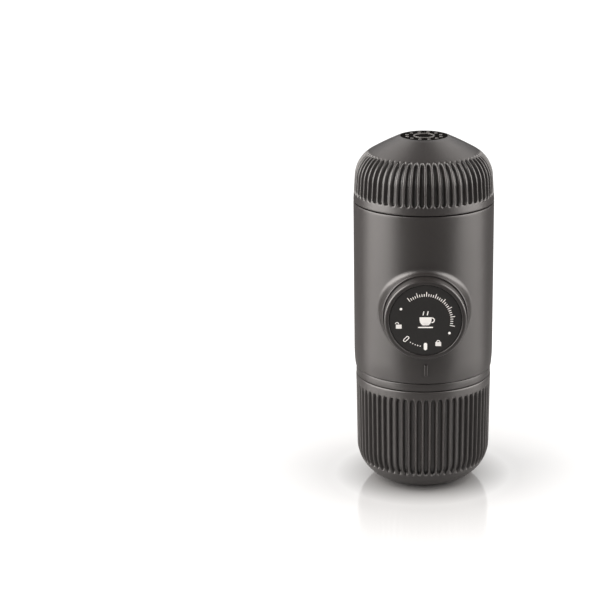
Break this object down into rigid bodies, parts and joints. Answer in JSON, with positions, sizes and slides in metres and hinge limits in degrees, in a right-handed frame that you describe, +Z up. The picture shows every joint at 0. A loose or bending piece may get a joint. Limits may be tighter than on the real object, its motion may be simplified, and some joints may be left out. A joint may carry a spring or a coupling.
{
  "type": "handheld espresso maker",
  "caption": "Handheld manual espresso maker: side pump knob that twists and strokes, screw-on water tank, screw-off outlet head with filter basket, push-on cup.",
  "frame": {"origin": "centre of the cup's flat foot, on the surface that the maker stands on", "axes": "+Z up along the body, -Y out of the pump knob, +X to the right seen from the knob"},
  "size_m": [0.062, 0.071, 0.1575],
  "materials": {
    "shell_grey": "soft-touch matte",
    "cup_grey": "soft-touch matte",
    "black_plastic": "fine matte",
    "face_black": "grained matte",
    "gloss_black": "polished",
    "silicone": "matte silicone",
    "steel": "brushed",
    "spring_steel": "drawn wire",
    "screw_steel": "plated",
    "brass_fitting": "turned"
  },
  "bodies": {
    "body": {"body_shell": "shell_grey", "pump_core": "black_plastic", "head_socket": "black_plastic", "cylinder_liner": "steel", "end_plug": "brass_fitting", "end_plug_seal": "silicone", "rod_seal": "silicone", "lock_ring": "black_plastic", "inlet_valve_cage": "black_plastic", "inlet_valve_spring": "spring_steel", "outlet_valve_cage": "black_plastic", "outlet_valve_spring": "spring_steel", "vent_valve": "silicone", "shower_screen": "steel", "shower_screw": "screw_steel", "core_screws": "screw_steel", "head_gasket": "silicone", "return_spring": "spring_steel"},
    "plunger": {"plunger": "black_plastic", "plunger_seals": "silicone", "knob_screw": "screw_steel"},
    "knob": {"pump_knob": "shell_grey", "knob_face": "face_black"},
    "tank_gasket": {"tank_gasket": "silicone"},
    "tank": {"water_tank": "shell_grey", "tank_tip_pad": "gloss_black"},
    "collar": {"collar_ring": "shell_grey"},
    "head": {"outlet_head": "black_plastic", "cup_seal": "silicone", "spout_cap": "black_plastic", "crema_valve_cage": "black_plastic", "crema_valve_spring": "spring_steel"},
    "basket": {"filter_basket": "steel"},
    "cup": {"cup": "cup_grey"},
    "inlet_ball": {"inlet_valve_ball": "steel"},
    "outlet_ball": {"outlet_valve_ball": "steel"},
    "crema_ball": {"crema_valve_ball": "steel"}
  },
  "joints": [
    {"name": "pump_stroke", "type": "slide", "parent": "body", "child": "plunger", "axis": [0, -1, 0], "range_m": [0, 0.018], "deforming": ["return_spring"]},
    {"name": "knob_twist", "type": "hinge", "parent": "plunger", "child": "knob", "pos_m": [0, 0, 0.0852], "axis": [0, -1, 0], "range_deg": [0, 45]},
    {"name": "tank_lift", "type": "slide", "parent": "body", "child": "tank_gasket", "axis": [0, 0, 1], "range_m": [0, 0.012]},
    {"name": "tank_screw", "type": "hinge", "parent": "tank_gasket", "child": "tank", "pos_m": [0, 0, 0.1288], "axis": [0, 0, 1], "range_deg": [0, 360]},
    {"name": "head_drop", "type": "slide", "parent": "body", "child": "collar", "axis": [0, 0, -1], "range_m": [0, 0.012]},
    {"name": "head_screw", "type": "hinge", "parent": "collar", "child": "head", "pos_m": [0, 0, 0.0532], "axis": [0, 0, -1], "range_deg": [0, 360]},
    {"name": "basket_lift", "type": "slide", "parent": "head", "child": "basket", "axis": [0, 0, 1], "range_m": [0, 0.0101]},
    {"name": "cup_pull", "type": "slide", "parent": "head", "child": "cup", "axis": [0, 0, -1], "range_m": [0, 0.035]},
    {"name": "inlet_open", "type": "slide", "parent": "body", "child": "inlet_ball", "axis": [0, 0, -1], "range_m": [0, 0.0006], "stiffness_N_per_m": 20, "springref_m": -0.001, "deforming": ["inlet_valve_spring"]},
    {"name": "outlet_open", "type": "slide", "parent": "body", "child": "outlet_ball", "axis": [0, 0, -1], "range_m": [0, 0.0006], "stiffness_N_per_m": 20, "springref_m": -0.001, "deforming": ["outlet_valve_spring"]},
    {"name": "crema_open", "type": "slide", "parent": "head", "child": "crema_ball", "axis": [0, 0, -1], "range_m": [0, 0.0006], "stiffness_N_per_m": 20, "springref_m": -0.001, "deforming": ["crema_valve_spring"]}
  ],
  "couplings": [
    {"joint": "tank_lift", "follows": "tank_screw", "m_per_rad": 0.0019098},
    {"joint": "head_drop", "follows": "head_screw", "m_per_rad": 0.0019098},
    {"joint": "basket_lift", "follows": "head_screw", "m_per_rad": 0.0016}
  ]
}
